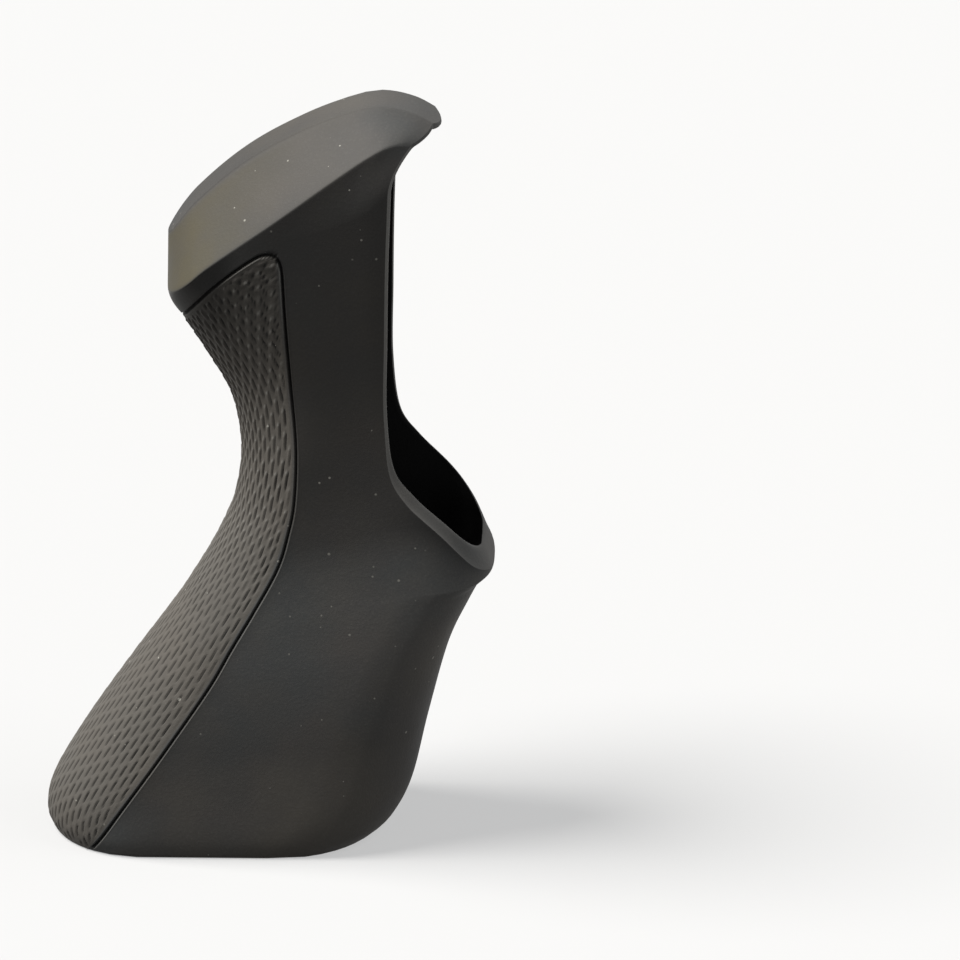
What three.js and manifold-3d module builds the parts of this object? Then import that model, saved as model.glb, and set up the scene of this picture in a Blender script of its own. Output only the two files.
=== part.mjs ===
import * as THREE from 'three';
import { mergeVertices } from 'three/addons/utils/BufferGeometryUtils.js';
import Module from 'manifold-3d';

// Brake lever hood, one hollow rubber moulding, millimetres, +Z up.
// It stands on the flat rim of its handlebar mouth. The palm side faces -X,
// the lever opening faces +X, and it is the same on both sides of the XZ plane.

// Overall sizes
const HOOD_HEIGHT = 118.6;
const HOOD_DEPTH = 70.4;
const HOOD_WIDTH = 33;

// Skin thickness, and the edge of the lever opening: rounded, and sloping outwards at the lip
const WALL = 1.8;
const OPENING_EDGE = 1.3;
const EDGE_ROUND = 0.5;
const LIP_SLOPE = 1.7;
const EDGE_TAPER = 6;

// Groove around the palm pad
const GROOVE_RADIUS = 0.33;
const GROOVE_SINK = 0.12;
const GROOVE_END = 0.3;

// Fineness of the skin
const PAD_COLUMNS = 10;
const SIDE_COLUMNS = 10;
const COLUMNS = PAD_COLUMNS + SIDE_COLUMNS;

// Sections, drawn from the handlebar mouth upwards. Each one holds:
// palm end x and z, front end x and z, half width, reach of the palm rounding,
// reach of the front rounding, bluntness of the front, where the pad ends (x),
// rise of the section line above straight, and where the front would close (x).
const CLOSED_SECTIONS = [
  [-34.2, 0, 17.0, 0, 15.9, 15, 15, 1.9, -27.7, 0, 17.0],
  [-35.2, 3, 19.8, 3, 16.4, 16, 14, 2.0, -25.6, 0, 19.8],
  [-34.0, 8, 22.5, 8.8, 16.5, 16.5, 13, 2.1, -22.2, 0, 22.5],
  [-28.7, 17, 25.0, 19.5, 16.3, 16, 13, 2.2, -15.7, 0, 25.0],
  [-21.8, 27, 28.3, 32, 16.0, 15, 12, 2.4, -8.6, 0, 28.3],
  [-17.4, 33, 31.8, 40, 15.8, 14.5, 12, 2.6, -5.0, 0, 31.8],
  [-13.8, 38, 35.2, 46.5, 15.7, 14, 12, 2.8, -1.6, 0, 35.2],
];
const OPEN_SECTIONS = [
  CLOSED_SECTIONS[CLOSED_SECTIONS.length - 1],
  [-9.5, 45, 29.0, 54.0, 15.6, 14, 12, 2.7, 2.1, 0, 35.2],
  [-6.9, 50, 23.4, 59.6, 15.6, 14, 12, 2.6, 3.9, 0.2, 34.0],
  [-5.0, 55, 20.2, 64.3, 15.6, 14, 12, 2.5, 4.9, 0.4, 31.0],
  [-3.9, 63, 19.1, 73.0, 15.5, 14, 11, 2.4, 5.2, 0.8, 27.5],
  [-5.2, 71.5, 19.2, 84.5, 15.4, 13.5, 11, 2.3, 4.4, 1.9, 26.5],
  [-8.8, 78.3, 19.4, 96.0, 15.2, 12.5, 10.5, 2.3, 3.7, 3.3, 25.8],
  [-12.8, 84.6, 19.8, 107.0, 15.0, 11, 10, 2.3, 3.2, 4.9, 25.0],
];
const LIP = CLOSED_SECTIONS.length - 1;
const NECK = LIP + OPEN_SECTIONS.length - 1;

// Horn: lower ridge and top profile in side view (x, z), and the half width
// along the lower ridge (x, y). The top is a flat strip between two bevels,
// and its front end comes to a rounded tip.
const RIDGE = [
  [-14.85, 89.3], [-11.5, 92.8], [-8, 96], [2.2, 103.4],
  [11.7, 110.3], [17.2, 113.7], [20.2, 114.5], [22.8, 114.1],
];
const RIDGE_HALF = [[-14.85, 14.3], [2, 15], [12, 14.3], [17.5, 12.8], [20.5, 11], [22.8, 9.5]];
const TOP = [
  [-14.7, 97.6], [-10.4, 103.1], [-2.6, 109.8], [6, 114.7],
  [13.5, 117.7], [18, 118.6], [23.0, 117.6], [27.0, 115.4],
];
const TOP_HALF = 4.7;
const RIDGE_ROUND = 5;
const TOP_ROUND = 2.4;
const TIP_LENGTH = 1.7;

// Rows of the skin, in sections up to the neck and in steps of the horn above it
const BODY_ROWS = [
  0, 0.4, 1, 1.5, 2, 2.5, 3, 3.5, 4, 4.5, 5, 5.5,
  6, 6.04, 6.1, 6.2, 6.35, 6.55, 6.8, 7.1, 7.5, 8, 8.33, 8.67,
  9, 9.33, 9.67, 10, 10.33, 10.67, 11, 11.33, 11.67, 12, 12.33, 12.67, 13,
];
const HORN_ROWS = [0.15, 0.4, 0.65, 0.94, 1, 1.06, 1.5, 1.94, 2, 2.06, 2.5, 3];
const CORNER_SPAN = 0.06;

const mix = (a, b, t) => a + (b - a) * t;
const clamp = (t) => Math.min(1, Math.max(0, t));
const smooth = (t) => clamp(t) * clamp(t) * (3 - 2 * clamp(t));

// Smooth curve through the rows of a table, at a row number with a fraction
function through(rows, t) {
  const last = rows.length - 1;
  const i = Math.min(last - 1, Math.max(0, Math.floor(t)));
  const f = t - i;
  const a = rows[i];
  const b = rows[i + 1];
  return a.map((p, k) => {
    const q = b[k];
    const m = i > 0 ? (q - rows[i - 1][k]) / 2 : q - p;
    const n = i < last - 1 ? (rows[i + 2][k] - p) / 2 : q - p;
    const f2 = f * f;
    const f3 = f2 * f;
    return (2 * f3 - 3 * f2 + 1) * p + (f3 - 2 * f2 + f) * m + (3 * f2 - 2 * f3) * q + (f3 - f2) * n;
  });
}

// Height of a drawn outline over x, and its slope
function over(points, x) {
  const last = points.length - 1;
  let i = 0;
  while (i < last - 1 && x > points[i + 1][0]) i += 1;
  const slope = (k) => {
    const a = points[Math.max(0, k - 1)];
    const b = points[Math.min(last, k + 1)];
    return (b[1] - a[1]) / (b[0] - a[0]);
  };
  const span = points[i + 1][0] - points[i][0];
  const f = (x - points[i][0]) / span;
  const f2 = f * f;
  const f3 = f2 * f;
  return (2 * f3 - 3 * f2 + 1) * points[i][1] + (f3 - 2 * f2 + f) * span * slope(i)
    + (3 * f2 - 2 * f3) * points[i + 1][1] + (f3 - f2) * span * slope(i + 1);
}

const sectionAt = (v) => (v <= LIP ? through(CLOSED_SECTIONS, v) : through(OPEN_SECTIONS, v - LIP));

// Direction into the lever opening, seen from the side, at a section
function intoOpening(v) {
  const step = 0.02;
  const low = sectionAt(Math.max(LIP + 0.001, v - step));
  const high = sectionAt(Math.min(NECK, Math.max(v, LIP) + step));
  const dx = high[2] - low[2];
  const dz = high[3] - low[3];
  const size = Math.hypot(dx, dz);
  const turn = smooth((v - LIP) / 0.5);
  const nx = mix(0, dz / size, turn);
  const nz = mix(1, -dx / size, turn);
  const unit = Math.hypot(nx, nz);
  return [nx / unit, nz / unit];
}

// How far the opening edge slopes: fully along the lip, not at all further up
const lipShare = (v) => 1 - smooth((v - LIP - 1.8) / 2);

// Quarter curve that rounds the palm end or the front end of a section
const rounded = (t, power) => Math.pow(Math.max(0, 1 - Math.pow(1 - clamp(t), power)), 1 / power);

// Where the inner skin reaches the lip of the opening, as a section number
function openAt(v, inset) {
  if (inset === 0 || v < LIP || v > LIP + 1) return v;
  const start = inset / (OPEN_SECTIONS[0][2] - OPEN_SECTIONS[1][2]);
  return LIP + start + (v - LIP) * (1 - start);
}

// Point of the skin at column c of section v, inset inwards by the wall
function bodyPoint(c, v, inset) {
  const [palmX, palmZ, frontX, frontZ, half, palmRound, frontRound, power, padX, rise, close] = sectionAt(v);
  let endX = frontX;
  let setBackZ = 0;
  if (v >= LIP) {
    const edge = openAt(v, inset);
    const rim = sectionAt(edge);
    const into = intoOpening(edge);
    const back = inset > 0 ? EDGE_ROUND / 2 : mix(EDGE_ROUND, LIP_SLOPE, lipShare(v));
    endX = rim[2] - into[0] * back;
    setBackZ = rim[3] - into[1] * back;
  } else {
    endX = frontX - inset;
  }
  const startX = palmX + inset * 1.15;
  const t = c / PAD_COLUMNS;
  const s = (c - PAD_COLUMNS) / SIDE_COLUMNS;
  const even = smooth((v - LIP - 0.2) / 2);
  const x = t <= 1 ? mix(startX, padX, t * t) : mix(padX, endX, mix((1 - Math.cos(Math.PI * s)) / 2, s, even));
  const q = (x - palmX) / (frontX - palmX);
  let z = mix(palmZ, frontZ, q) + rise * 6.75 * q * (1 - q) * (1 - q);
  if (v >= LIP) {
    const qe = (endX - palmX) / (frontX - palmX);
    const ze = mix(palmZ, frontZ, qe) + rise * 6.75 * qe * (1 - qe) * (1 - qe);
    z += (setBackZ - ze) * Math.pow(clamp((x - padX) / (endX - padX)), 2);
  }
  const left = rounded((x - startX) / (palmRound - inset), 2);
  const right = rounded((close - inset - x) / (frontRound - inset), power);
  const atEdge = v <= LIP && c === COLUMNS;
  return [x, atEdge ? 0 : -(half - inset) * left * right, z];
}

// Corner points of the horn for a column: neck, lower ridge, upper ridge, middle of the strip
function hornKeys(c, inset) {
  const neck = bodyPoint(c, NECK, inset);
  const first = bodyPoint(0, NECK, inset);
  const last = bodyPoint(COLUMNS, NECK, inset);
  const f = (neck[0] - first[0]) / (last[0] - first[0]);
  const ends = [RIDGE[0][0] + inset, RIDGE[RIDGE.length - 1][0]];
  const ridgeX = mix(ends[0], ends[1], f);
  const ridgeY = -(over(RIDGE_HALF, ridgeX) - inset) * rounded((ridgeX - ends[0]) / (RIDGE_ROUND - inset), 2);
  const ridge = [ridgeX, ridgeY, over(RIDGE, ridgeX) - inset * 0.45];
  const middleX = mix(TOP[0][0], TOP[TOP.length - 1][0], f);
  const topX = middleX - TIP_LENGTH * smooth((f - 0.8) / 0.2);
  const tilt = Math.atan((over(TOP, middleX + 0.05) - over(TOP, middleX - 0.05)) / 0.1);
  const lean = mix(Math.PI / 2, tilt, smooth(f / 0.06));
  const topY = -(TOP_HALF - inset * 0.45) * rounded((topX - TOP[0][0]) / TOP_ROUND, 2);
  const inX = inset * Math.sin(lean);
  const inZ = inset * Math.cos(lean);
  return [
    neck,
    ridge,
    [topX + inX, topY, over(TOP, topX) - inZ],
    [middleX + inX, 0, over(TOP, middleX) - inZ],
  ];
}

// Point of the horn at column c, w steps above the neck, with softened ridges
function hornPoint(c, w, inset) {
  const keys = hornKeys(c, inset);
  const along = (u) => {
    const i = Math.min(2, Math.floor(u));
    const f = u - i;
    const round = 1 - (1 - f) * (1 - f);
    const fx = [mix(round, f * f, c / COLUMNS), f, round][i];
    const fy = i === 0 ? mix(f, f * f, clamp((c - PAD_COLUMNS) / SIDE_COLUMNS)) : f;
    return [
      mix(keys[i][0], keys[i + 1][0], fx),
      mix(keys[i][1], keys[i + 1][1], fy),
      mix(keys[i][2], keys[i + 1][2], i === 2 ? fx : f),
    ];
  };
  const corner = Math.round(w);
  if ((corner === 1 || corner === 2) && Math.abs(w - corner) < CORNER_SPAN) {
    const a = along(corner - CORNER_SPAN);
    const b = along(corner);
    const d = along(corner + CORNER_SPAN);
    const t = (w - corner + CORNER_SPAN) / (2 * CORNER_SPAN);
    return a.map((p, k) => (1 - t) * (1 - t) * p + 2 * t * (1 - t) * b[k] + t * t * d[k]);
  }
  return along(w);
}

// The skin thins towards the edge of the opening
function insetFor(c, v, layer) {
  if (layer === 0) return 0;
  if (v < LIP) return WALL;
  const near = (COLUMNS - c) / SIDE_COLUMNS * EDGE_TAPER * 2;
  return mix(WALL, mix(OPENING_EDGE, WALL, smooth(near / EDGE_TAPER)), smooth((v - LIP) / 1));
}

const rows = [
  ...BODY_ROWS.map((v) => ({ v, w: 0 })),
  ...HORN_ROWS.map((w) => ({ v: NECK, w })),
];

function skinPoint(c, row, layer) {
  const inset = insetFor(c, row.v, layer);
  return row.w > 0 ? hornPoint(c, row.w, inset) : bodyPoint(c, row.v, inset);
}

// Overall scale from the drawn outline to the named sizes
const drawnFront = Math.max(...CLOSED_SECTIONS.map((s) => s[2]));
const drawnPalm = Math.min(...CLOSED_SECTIONS.map((s) => s[0]));
const drawnHalf = Math.max(...CLOSED_SECTIONS.map((s) => s[4]));
const drawnTop = Math.max(...TOP.map((p) => p[1]));
const place = ([x, y, z]) => [
  (x - (drawnFront + drawnPalm) / 2) * HOOD_DEPTH / (drawnFront - drawnPalm),
  y * HOOD_WIDTH / 2 / drawnHalf,
  z * HOOD_HEIGHT / drawnTop,
];

// Triangles of the closed skin: outer face, inner face, mouth rim and opening edge
function skinGeometry() {
  const coords = [];
  const same = (a, b) => Math.hypot(a[0] - b[0], a[1] - b[1], a[2] - b[2]) < 1e-4;
  const triangle = (a, b, d) => {
    if (same(a, b) || same(b, d) || same(a, d)) return;
    coords.push(...a, ...b, ...d);
    const [ma, mb, md] = [a, b, d].map((p) => [p[0], -p[1], p[2]]);
    coords.push(...ma, ...md, ...mb);
  };
  const quad = (a, b, d, e) => {
    triangle(a, b, d);
    triangle(a, d, e);
  };
  const grid = [0, 1].map((layer) => rows.map((row) => {
    const line = [];
    for (let c = 0; c <= COLUMNS; c += 1) {
      line.push(place(skinPoint(c, row, layer)));
      if (c === 0) line[0][1] = 0;
    }
    return line;
  }));
  grid.forEach((face, layer) => {
    for (let i = 0; i < rows.length - 1; i += 1) {
      for (let c = 0; c < COLUMNS; c += 1) {
        const a = face[i][c];
        const b = face[i][c + 1];
        const d = face[i + 1][c + 1];
        const e = face[i + 1][c];
        if (layer === 0) quad(a, b, d, e);
        else quad(a, e, d, b);
      }
    }
  });
  for (let c = 0; c < COLUMNS; c += 1) {
    quad(grid[0][0][c], grid[1][0][c], grid[1][0][c + 1], grid[0][0][c + 1]);
  }
  const first = rows.findIndex((row) => row.v >= LIP);
  const crest = rows.map((row, i) => {
    if (i < first) return null;
    const outer = grid[0][i][COLUMNS];
    const inner = grid[1][i][COLUMNS];
    const neck = intoOpening(NECK);
    let into = row.w > 0 ? neck : intoOpening(row.v);
    if (row.w > 0) {
      const turn = Math.min(1, row.w);
      const tip = Math.max(0, row.w - 1) / 2;
      into = [mix(mix(neck[0], 0.5, turn), 0.95, tip), mix(mix(neck[1], -0.86, turn), -0.3, tip)];
    }
    const lean = 0.5 + 0.25 * lipShare(row.v);
    return [
      mix(outer[0], inner[0], lean) + into[0] * EDGE_ROUND * 0.7,
      mix(outer[1], inner[1], lean),
      mix(outer[2], inner[2], lean) + into[1] * EDGE_ROUND * 0.7,
    ];
  });
  for (let i = first; i < rows.length - 1; i += 1) {
    quad(grid[0][i][COLUMNS], crest[i], crest[i + 1], grid[0][i + 1][COLUMNS]);
    quad(crest[i], grid[1][i][COLUMNS], grid[1][i + 1][COLUMNS], crest[i + 1]);
  }
  const geometry = new THREE.BufferGeometry();
  geometry.setAttribute('position', new THREE.Float32BufferAttribute(coords, 3));
  return mergeVertices(geometry, 1e-4);
}

// Line of the groove on the outer skin, from the mouth up one side of the pad,
// over the palm under the horn, and down the other side
function groovePath() {
  const near = [];
  const corner = 1.4;
  const drop = 0.45;
  for (let v = GROOVE_END; v < NECK - drop - 0.05; v += 0.33) near.push([PAD_COLUMNS, v]);
  for (let k = 0; k <= 6; k += 1) {
    const t = k / 6;
    near.push([
      PAD_COLUMNS - corner * t * t,
      NECK - drop * (1 - t) * (1 - t),
    ]);
  }
  for (let c = Math.floor(PAD_COLUMNS - corner); c > 0; c -= 1) near.push([c, NECK]);
  const sunk = ([c, v]) => {
    const step = 0.05;
    const p = new THREE.Vector3(...place(bodyPoint(c, v, 0)));
    const along = new THREE.Vector3(...place(bodyPoint(c + step, v, 0))).sub(p);
    const up = new THREE.Vector3(...place(bodyPoint(c, v - step, 0))).sub(p).negate();
    const outward = along.cross(up).normalize();
    return p.addScaledVector(outward, -GROOVE_SINK);
  };
  const side = near.map(sunk);
  const middle = new THREE.Vector3(...place(bodyPoint(0, NECK, 0)));
  middle.x += GROOVE_SINK;
  const far = side.map((p) => new THREE.Vector3(p.x, -p.y, p.z)).reverse();
  return new THREE.CatmullRomCurve3([...side, middle, ...far]);
}

function grooveGeometry() {
  const outline = new THREE.Shape();
  for (let k = 0; k < 6; k += 1) {
    const a = k * Math.PI / 3;
    const x = GROOVE_RADIUS * Math.cos(a);
    const y = GROOVE_RADIUS * Math.sin(a);
    if (k === 0) outline.moveTo(x, y);
    else outline.lineTo(x, y);
  }
  outline.closePath();
  const tube = new THREE.ExtrudeGeometry(outline, { steps: 150, bevelEnabled: false, extrudePath: groovePath() });
  tube.deleteAttribute('normal');
  tube.deleteAttribute('uv');
  return mergeVertices(tube, 1e-4);
}

const wasm = await Module();
wasm.setup();
const solidOf = (geometry) => new wasm.Manifold(new wasm.Mesh({
  numProp: 3,
  vertProperties: new Float32Array(geometry.attributes.position.array),
  triVerts: new Uint32Array(geometry.index.array),
}));

const skin = solidOf(skinGeometry());
const grooved = skin.subtract(solidOf(grooveGeometry()));
const cut = grooved.getMesh();
const hoodGeometry = new THREE.BufferGeometry();
hoodGeometry.setAttribute('position', new THREE.BufferAttribute(new Float32Array(cut.vertProperties), 3));
hoodGeometry.setIndex(Array.from(cut.triVerts));
hoodGeometry.computeVertexNormals();

const hood = new THREE.Mesh(hoodGeometry, new THREE.MeshStandardMaterial({ color: 0x2b2b29, roughness: 0.75 }));
hood.name = 'hood';

const part = new THREE.Group();
part.name = 'brake_lever_hood';
part.add(hood);

export default part;
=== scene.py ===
import math
import bpy
import numpy as np
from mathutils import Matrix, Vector


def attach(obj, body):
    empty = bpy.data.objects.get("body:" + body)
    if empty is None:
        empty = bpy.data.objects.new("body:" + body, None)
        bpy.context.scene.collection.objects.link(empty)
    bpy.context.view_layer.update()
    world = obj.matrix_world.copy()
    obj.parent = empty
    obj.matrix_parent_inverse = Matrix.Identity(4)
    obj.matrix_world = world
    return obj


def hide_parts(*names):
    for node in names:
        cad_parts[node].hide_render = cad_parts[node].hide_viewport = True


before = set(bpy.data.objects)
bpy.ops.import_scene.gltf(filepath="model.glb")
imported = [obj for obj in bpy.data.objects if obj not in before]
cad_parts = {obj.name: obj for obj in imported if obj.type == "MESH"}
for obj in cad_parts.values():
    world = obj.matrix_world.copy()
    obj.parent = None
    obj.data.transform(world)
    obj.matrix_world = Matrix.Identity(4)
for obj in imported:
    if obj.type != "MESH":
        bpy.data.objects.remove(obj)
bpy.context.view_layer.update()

MM = 0.001

# Same sections as the solid: palm end x and z, front end x and z, half width,
# palm rounding, front rounding, bluntness, pad end x, rise, where the front would close
CLOSED = np.array([
    [-34.2, 0, 17.0, 0, 15.9, 15, 15, 1.9, -27.7, 0, 17.0],
    [-35.2, 3, 19.8, 3, 16.4, 16, 14, 2.0, -25.6, 0, 19.8],
    [-34.0, 8, 22.5, 8.8, 16.5, 16.5, 13, 2.1, -22.2, 0, 22.5],
    [-28.7, 17, 25.0, 19.5, 16.3, 16, 13, 2.2, -15.7, 0, 25.0],
    [-21.8, 27, 28.3, 32, 16.0, 15, 12, 2.4, -8.6, 0, 28.3],
    [-17.4, 33, 31.8, 40, 15.8, 14.5, 12, 2.6, -5.0, 0, 31.8],
    [-13.8, 38, 35.2, 46.5, 15.7, 14, 12, 2.8, -1.95, 0, 35.2],
])
OPEN = np.array([
    [-13.8, 38, 35.2, 46.5, 15.7, 14, 12, 2.8, -1.95, 0, 35.2],
    [-9.5, 45, 29.0, 54.0, 15.6, 14, 12, 2.7, 2.1, 0, 35.2],
    [-6.9, 50, 23.4, 59.6, 15.6, 14, 12, 2.6, 3.9, 0.2, 34.0],
    [-5.0, 55, 20.2, 64.3, 15.6, 14, 12, 2.5, 4.9, 0.4, 31.0],
    [-3.9, 63, 19.1, 73.0, 15.5, 14, 11, 2.4, 5.2, 0.8, 27.5],
    [-5.2, 71.5, 19.2, 84.5, 15.4, 13.5, 11, 2.3, 4.4, 1.9, 26.5],
    [-8.8, 78.3, 19.4, 96.0, 15.2, 12.5, 10.5, 2.3, 3.7, 3.3, 25.8],
    [-12.8, 84.6, 19.8, 107.0, 15.0, 11, 10, 2.3, 3.2, 4.9, 25.0],
])
LIP = len(CLOSED) - 1
NECK = LIP + len(OPEN) - 1

# Horn: lower ridge and top profile seen from the side, half width along the ridge
RIDGE = np.array([[-14.85, 89.3], [-11.5, 92.8], [-8, 96], [2.2, 103.4],
                  [11.7, 110.3], [17.2, 113.7], [20.2, 114.5], [22.8, 114.1]])
RIDGE_HALF = np.array([[-14.85, 14.3], [2, 15], [12, 14.3], [17.5, 12.8], [20.5, 11], [22.8, 9.5]])
TOP = np.array([[-14.7, 97.6], [-10.4, 103.1], [-2.6, 109.8], [6, 114.7],
                [13.5, 117.7], [18, 118.6], [23.0, 117.6], [27.0, 115.4]])
TOP_HALF = 4.7
RIDGE_ROUND = 5
TOP_ROUND = 2.4
CORNER_SPAN = 0.06
TIP_LENGTH = 1.1
TIP_FULLNESS = 0.7
TIP_FROM = 0.8
TIP_SPAN = 0.2
BLUNT_SHARE = 0.06
SLOPE_STEP = 0.05
HORN_INSET = 0.45

# Skin and the rounded edge of the lever opening; the lip band is measured in sections
WALL = 1.8
PALM_INSET = 1.15
OPENING_EDGE = 1.3
TAPER_SHARE = 0.25
EDGE_ROUND = 0.5
CREST_REACH = 0.7
LIP_SLOPE = 1.7
LIP_BAND = 1.8
LIP_FADE = 2
RING_STEPS = (0.03, 0.1, 0.25, 0.45, 0.65, 0.8, 0.9, 0.97)
RING_LIGHT = (1.0, 0.85, 0.65, 0.55, 0.5, 0.5, 0.85, 0.4)
MOUTH_SPAN = 0.35
MOUTH_ROUND = 0.18

# Crease between pad and flank, in sections, and its share of the palm rounding
CREASE_START = 0.8
CREASE_END = 9.5
CREASE_FADE = 2
CREASE_REACH = 0.18

# Groove around the palm pad, the raised line beside it and the plain margin of the pad
GROOVE_DEPTH = 0.5
GROOVE_FLOOR = 0.09
GROOVE_WALL = 0.21
GROOVE_START = 0.3
GROOVE_TURN = 0.45
GROOVE_TURN_IN = 0.14
BORDER_HEIGHT = 0.05
BORDER_AWAY = 0.36
BORDER_WIDTH = 0.07
MARGIN = 0.75
MARGIN_FADE = 0.45

# Dashes of the pad, with values for low, middle and high up on it
DASH_COLUMNS = 17
DASH_STEPS = (0.0, 0.13, 0.3, 0.5, 0.7, 0.87)
ROWS_PER_DASH = 8
DASH_PERIODS = (3.15, 2.85, 3.6)
DASH_PITCHES = (1.27, 1.12, 1.2)
DASH_SLANTS = (0.17, 0.08, -0.03)
BAR_HEIGHTS = (0.05, 0.14, 0.17)
LOW_BAR = 0.45
PAD_END_GAP = 0.1

# Places along a dash, as shares of its period, and across it, as shares of the pitch
DASH_SHIFT = 0.10
SLIT_DEPTH = 0.2
SLIT_START = 0.10
SLIT_UNEVEN = 0.04
SLIT_RISE = 0.16
SLIT_END = 0.80
SLIT_FALL = 0.12
SLIT_WIDTH = 0.095
DEPTH_UNEVEN = 0.3
BAR_START = 0.12
BAR_RISE = 0.45
BAR_END = 0.82
BAR_FALL = 0.10
BAR_FAR = 0.62
BAR_FAR_FADE = 0.22
BAR_NEAR = 0.22
BAR_NEAR_FADE = 0.18
# Painted highlight at the upper end of each dash
TIP_HIGHLIGHT_PLACE = 0.84
TIP_HIGHLIGHT_WIDTH = 0.06

# Painted light and shade: brightness factor of the colour by section, on the flank and on the pad
FLANK_PAINTED_SHADING = np.array([
    [0, 1.4], [1.5, 1.4], [3, 1.15], [4.5, 1.7], [6, 1.9],
    [6.7, 1.6], [7.5, 1.0], [9, 0.7], [11, 0.45], [13, 0.45],
])
PAD_PAINTED_SHADING = np.array([[0, 1.03], [5, 1.03], [7, 1.08], [9, 1.12], [10.5, 1.15], [12, 0.75], [13, 0.6]])
# Painted shade towards the front of the flank, painted light under the lower ridge, painted shade on the
# left of the top strip
FRONT_PAINTED_SHADE = 0.35
UNDER_RIDGE_PAINTED_LIGHT = (3.0, 0.5)
STRIP_PAINTED_SHADE = (0.66, 1.0)

# Rows of the mesh, and how finely curves are measured
LIP_STEPS = (0, 0.01, 0.025, 0.05, 0.08, 0.12, 0.17)
NECK_FROM = 12.5
NECK_ROWS = 27
LEAST_STEP = 0.008
FINE_STEPS = 2601
ARC_POINTS = 241
SIDE_POINTS = 900
TURN_POINTS = 60
TOP_POINTS = 400
CROWDING = (2.0, 1.15)
NEAR = 0.02
FAR_AWAY = 99.0
CHUNK = 2000
TINY = 1e-12


def mix(a, b, t):
    return a + (b - a) * t


def clamp(t):
    return np.clip(t, 0.0, 1.0)


def smooth(t):
    t = clamp(t)
    return t * t * (3 - 2 * t)


def up_the_pad(v, values, first, second):
    """Value that changes twice on the way up, each time from a section over a span."""
    low, middle, high = values
    below = mix(low, middle, smooth((v - first[0]) / first[1]))
    return mix(below, high, smooth((v - second[0]) / second[1]))


def through(table, t):
    """Row of the table at t, on a smooth curve through all of its rows."""
    last = len(table) - 1
    i = np.clip(np.floor(t).astype(int), 0, last - 1)
    f = (t - i)[..., None]
    a = table[i]
    b = table[i + 1]
    before = table[np.maximum(i - 1, 0)]
    after = table[np.minimum(i + 2, last)]
    m = np.where((i > 0)[..., None], (b - before) / 2, b - a)
    n = np.where((i < last - 1)[..., None], (after - a) / 2, b - a)
    f2 = f * f
    f3 = f2 * f
    return (2 * f3 - 3 * f2 + 1) * a + (f3 - 2 * f2 + f) * m + (3 * f2 - 2 * f3) * b + (f3 - f2) * n


def over(points, x):
    """Height at x of the smooth curve through the points."""
    last = len(points) - 1
    i = np.clip(np.searchsorted(points[:, 0], x, side="left") - 1, 0, last - 1)
    slopes = np.array([
        (points[min(last, k + 1), 1] - points[max(0, k - 1), 1])
        / (points[min(last, k + 1), 0] - points[max(0, k - 1), 0])
        for k in range(last + 1)
    ])
    span = points[i + 1, 0] - points[i, 0]
    f = (x - points[i, 0]) / span
    f2 = f * f
    f3 = f2 * f
    return ((2 * f3 - 3 * f2 + 1) * points[i, 1] + (f3 - 2 * f2 + f) * span * slopes[i]
            + (3 * f2 - 2 * f3) * points[i + 1, 1] + (f3 - f2) * span * slopes[i + 1])


def section_at(v):
    v = np.asarray(v, float)
    low = through(CLOSED, np.minimum(v, LIP))
    high = through(OPEN, np.maximum(v - LIP, 0))
    return np.where((v <= LIP)[..., None], low, high)


def into_opening(v):
    """Direction from the skin's edge into the lever opening."""
    v = np.asarray(v, float)
    low = section_at(np.maximum(LIP + 0.001, v - 0.02))
    high = section_at(np.minimum(NECK, np.maximum(v, LIP) + 0.02))
    dx = high[..., 2] - low[..., 2]
    dz = high[..., 3] - low[..., 3]
    size = np.hypot(dx, dz)
    turn = smooth((v - LIP) / 0.5)
    nx = mix(0, dz / size, turn)
    nz = mix(1, -dx / size, turn)
    unit = np.hypot(nx, nz)
    return nx / unit, nz / unit


def lip_share(v):
    """1 along the lip, 0 where the edge runs up the flank."""
    return 1 - smooth((v - LIP - LIP_BAND) / LIP_FADE)


def rounded(t, power):
    """Rounding from 0 at t 0 to 1 at t 1."""
    return np.power(np.maximum(0, 1 - np.power(1 - clamp(t), power)), 1 / power)


def open_at(v, inset):
    """Section whose front end the inner skin takes beside the lip."""
    start = inset / (OPEN[0, 2] - OPEN[1, 2])
    inside = (inset > 0) & (v >= LIP) & (v <= LIP + 1)
    return np.where(inside, LIP + start + (v - LIP) * (1 - start), v)


def row_ends(v, inset):
    """Where a row of the skin starts at the palm and ends at the front."""
    sec = section_at(v)
    edge = open_at(v, inset)
    rim = section_at(edge)
    nx, nz = into_opening(edge)
    back = np.where(inset > 0, EDGE_ROUND / 2, mix(EDGE_ROUND, LIP_SLOPE, lip_share(v)))
    end_x = np.where(v >= LIP, rim[..., 2] - nx * back, sec[..., 2] - inset)
    end_z = np.where(v >= LIP, rim[..., 3] - nz * back, 0)
    return sec, sec[..., 0] + inset * PALM_INSET, end_x, end_z


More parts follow.
